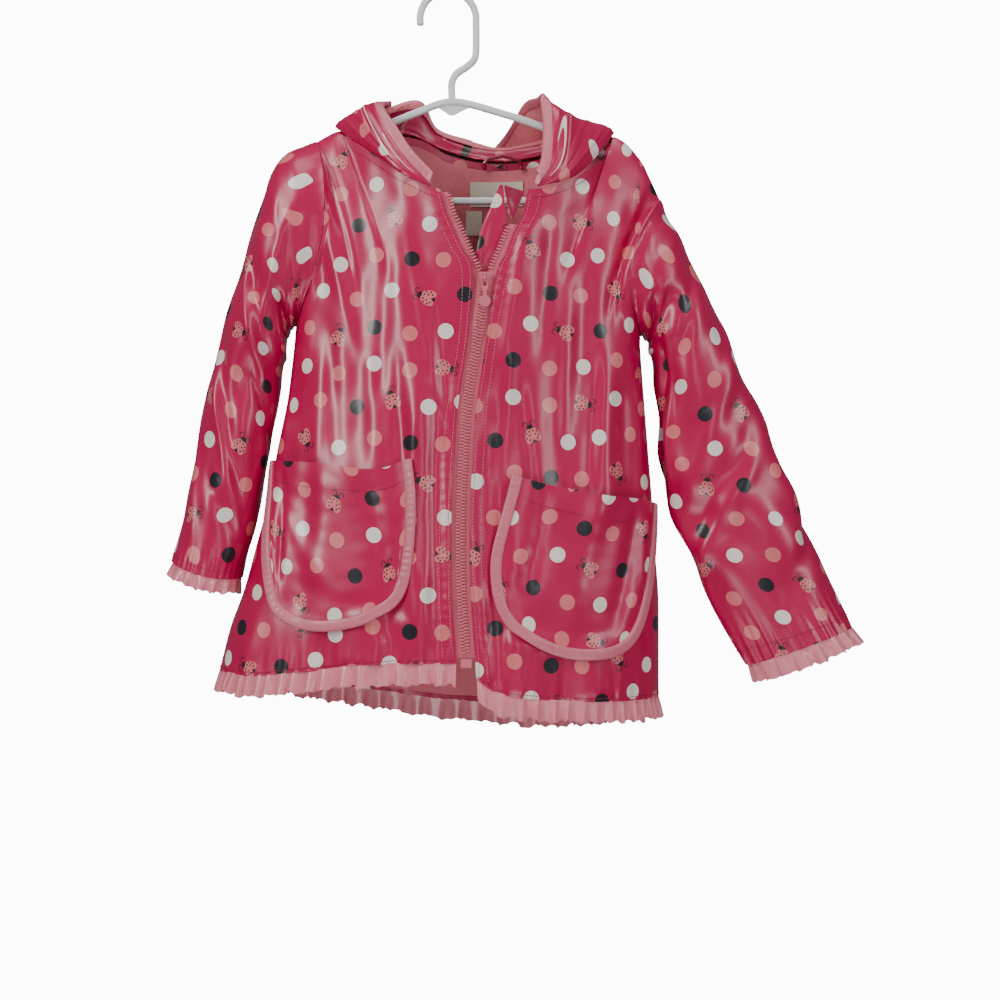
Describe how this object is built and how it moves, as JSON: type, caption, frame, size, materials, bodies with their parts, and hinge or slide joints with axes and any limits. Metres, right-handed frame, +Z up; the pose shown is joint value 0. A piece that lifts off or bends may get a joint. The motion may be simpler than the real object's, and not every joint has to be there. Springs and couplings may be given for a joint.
{
  "type": "toddler raincoat on child hanger",
  "caption": "Hooded zip raincoat for a toddler with patch pockets, bound edges and gathered ruffles, hanging unzipped at the neck on a plain plastic hanger",
  "frame": {"origin": "inside top of the hanger's hook, where it sits on a rail, in the plane of the hanger", "axes": "+Z up, the coat's front faces -Y, +X to the viewer's right, which is the wearer's left side"},
  "size_m": [0.568, 0.166, 0.6173],
  "materials": {
    "coated_cloth": "glossy coated cloth, hot pink, printed with dots and ladybirds in white, salmon and black",
    "lining": "matte woven lining, dusty pink",
    "binding": "satin binding tape, dusty pink",
    "ruffle": "glossy coated cloth, light pink",
    "zip_tape": "woven zip tape, dusty pink",
    "zip_plastic": "moulded plastic, dusty pink",
    "facing": "plain coated cloth, dark pink",
    "label": "woven label, cream, plain",
    "hanger_plastic": "moulded plastic, white"
  },
  "bodies": {
    "coat": {"front_right": "coated_cloth", "front_left": "coated_cloth", "back": "coated_cloth", "back_lining": "lining", "sleeve_right": "coated_cloth", "sleeve_left": "coated_cloth", "hood_right": "coated_cloth", "hood_lining_right": "lining", "hood_left": "coated_cloth", "hood_lining_left": "lining", "hood_binding": "binding", "pocket_right": "coated_cloth", "pocket_binding_right": "binding", "pocket_left": "coated_cloth", "pocket_binding_left": "binding", "zip_tape_right": "zip_tape", "zip_tape_left": "zip_tape", "zip_slider": "zip_plastic", "zip_stop": "zip_plastic", "wind_flap": "coated_cloth", "neck_facing": "facing", "neck_label": "label", "size_label": "label", "hang_loop": "facing", "hem_ruffle_right": "ruffle", "hem_ruffle_left": "ruffle", "hem_ruffle_back": "ruffle", "cuff_ruffle_right": "ruffle", "cuff_ruffle_left": "ruffle", "hanger": "hanger_plastic"},
    "zip_pull": {"zip_pull": "zip_plastic"}
  },
  "joints": [
    {"name": "pull_tab_hinge", "type": "hinge", "parent": "coat", "child": "zip_pull", "pos_m": [0.03065, -0.05775, -0.2405], "axis": [-1, 0, 0], "range_deg": [0, 170]}
  ]
}
